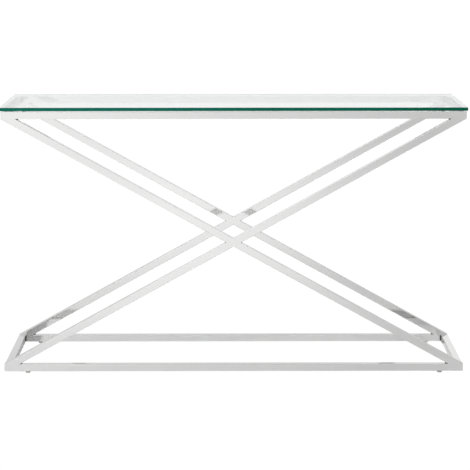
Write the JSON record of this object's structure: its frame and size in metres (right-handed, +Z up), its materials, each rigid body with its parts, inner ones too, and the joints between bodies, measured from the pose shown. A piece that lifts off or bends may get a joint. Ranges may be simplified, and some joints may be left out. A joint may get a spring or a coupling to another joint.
{
  "type": "console table",
  "caption": "Long narrow console table: a clear glass pane on rectangular top and base frames of polished square steel tube, joined front and back by an X of diagonals.",
  "frame": {"origin": "on the floor, under the middle of the table", "axes": "+X along the table's length, towards the right seen from the front; +Y towards the back; +Z up"},
  "size_m": [1.4, 0.45, 0.81],
  "materials": {
    "glass_pane": "clear float glass 10 mm thick, green in its polished edges",
    "frame_steel": "mirror-polished stainless steel tube, welds ground flush and polished",
    "glass_bumper": "clear soft polyurethane bumper with a sticky back",
    "foot_nut": "zinc-plated steel weld nut",
    "foot_screw": "bright nickel-plated steel screw with a wide round head",
    "foot_pad": "moulded natural nylon"
  },
  "bodies": {
    "root": {"top_rail_front": "frame_steel", "top_rail_back": "frame_steel", "top_rail_left": "frame_steel", "top_rail_right": "frame_steel", "base_rail_front": "frame_steel", "base_rail_back": "frame_steel", "base_rail_left": "frame_steel", "base_rail_right": "frame_steel", "front_diagonal_long": "frame_steel", "front_diagonal_upper_half": "frame_steel", "front_diagonal_lower_half": "frame_steel", "back_diagonal_long": "frame_steel", "back_diagonal_upper_half": "frame_steel", "back_diagonal_lower_half": "frame_steel", "bumper_front_left": "glass_bumper", "bumper_front_right": "glass_bumper", "bumper_back_left": "glass_bumper", "bumper_back_right": "glass_bumper", "foot_nut_front_left": "foot_nut", "foot_nut_front_right": "foot_nut", "foot_nut_back_left": "foot_nut", "foot_nut_back_right": "foot_nut"},
    "glass": {"glass_top": "glass_pane"},
    "foot_pad_front_left": {"foot_pad_front_left": "foot_pad"},
    "foot_screw_front_left": {"foot_screw_front_left": "foot_screw"},
    "foot_pad_front_right": {"foot_pad_front_right": "foot_pad"},
    "foot_screw_front_right": {"foot_screw_front_right": "foot_screw"},
    "foot_pad_back_left": {"foot_pad_back_left": "foot_pad"},
    "foot_screw_back_left": {"foot_screw_back_left": "foot_screw"},
    "foot_pad_back_right": {"foot_pad_back_right": "foot_pad"},
    "foot_screw_back_right": {"foot_screw_back_right": "foot_screw"}
  },
  "joints": [
    {"name": "glass_lift", "type": "slide", "parent": "root", "child": "glass", "axis": [0, 0, 1], "range_m": [0, 0.1]},
    {"name": "foot_front_left_travel", "type": "slide", "parent": "root", "child": "foot_pad_front_left", "axis": [0, 0, -1], "range_m": [0, 0.01]},
    {"name": "foot_front_left_turn", "type": "hinge", "parent": "foot_pad_front_left", "child": "foot_screw_front_left", "pos_m": [-0.6265, -0.2105, 0.004], "axis": [0, 0, -1], "range_deg": [0, 2880]},
    {"name": "foot_front_right_travel", "type": "slide", "parent": "root", "child": "foot_pad_front_right", "axis": [0, 0, -1], "range_m": [0, 0.01]},
    {"name": "foot_front_right_turn", "type": "hinge", "parent": "foot_pad_front_right", "child": "foot_screw_front_right", "pos_m": [0.6265, -0.2105, 0.004], "axis": [0, 0, -1], "range_deg": [0, 2880]},
    {"name": "foot_back_left_travel", "type": "slide", "parent": "root", "child": "foot_pad_back_left", "axis": [0, 0, -1], "range_m": [0, 0.01]},
    {"name": "foot_back_left_turn", "type": "hinge", "parent": "foot_pad_back_left", "child": "foot_screw_back_left", "pos_m": [-0.6265, 0.2105, 0.004], "axis": [0, 0, -1], "range_deg": [0, 2880]},
    {"name": "foot_back_right_travel", "type": "slide", "parent": "root", "child": "foot_pad_back_right", "axis": [0, 0, -1], "range_m": [0, 0.01]},
    {"name": "foot_back_right_turn", "type": "hinge", "parent": "foot_pad_back_right", "child": "foot_screw_back_right", "pos_m": [0.6265, 0.2105, 0.004], "axis": [0, 0, -1], "range_deg": [0, 2880]}
  ],
  "couplings": [
    {"joint": "foot_front_left_travel", "follows": "foot_front_left_turn", "m_per_rad": 0.00019894},
    {"joint": "foot_front_right_travel", "follows": "foot_front_right_turn", "m_per_rad": 0.00019894},
    {"joint": "foot_back_left_travel", "follows": "foot_back_left_turn", "m_per_rad": 0.00019894},
    {"joint": "foot_back_right_travel", "follows": "foot_back_right_turn", "m_per_rad": 0.00019894}
  ]
}
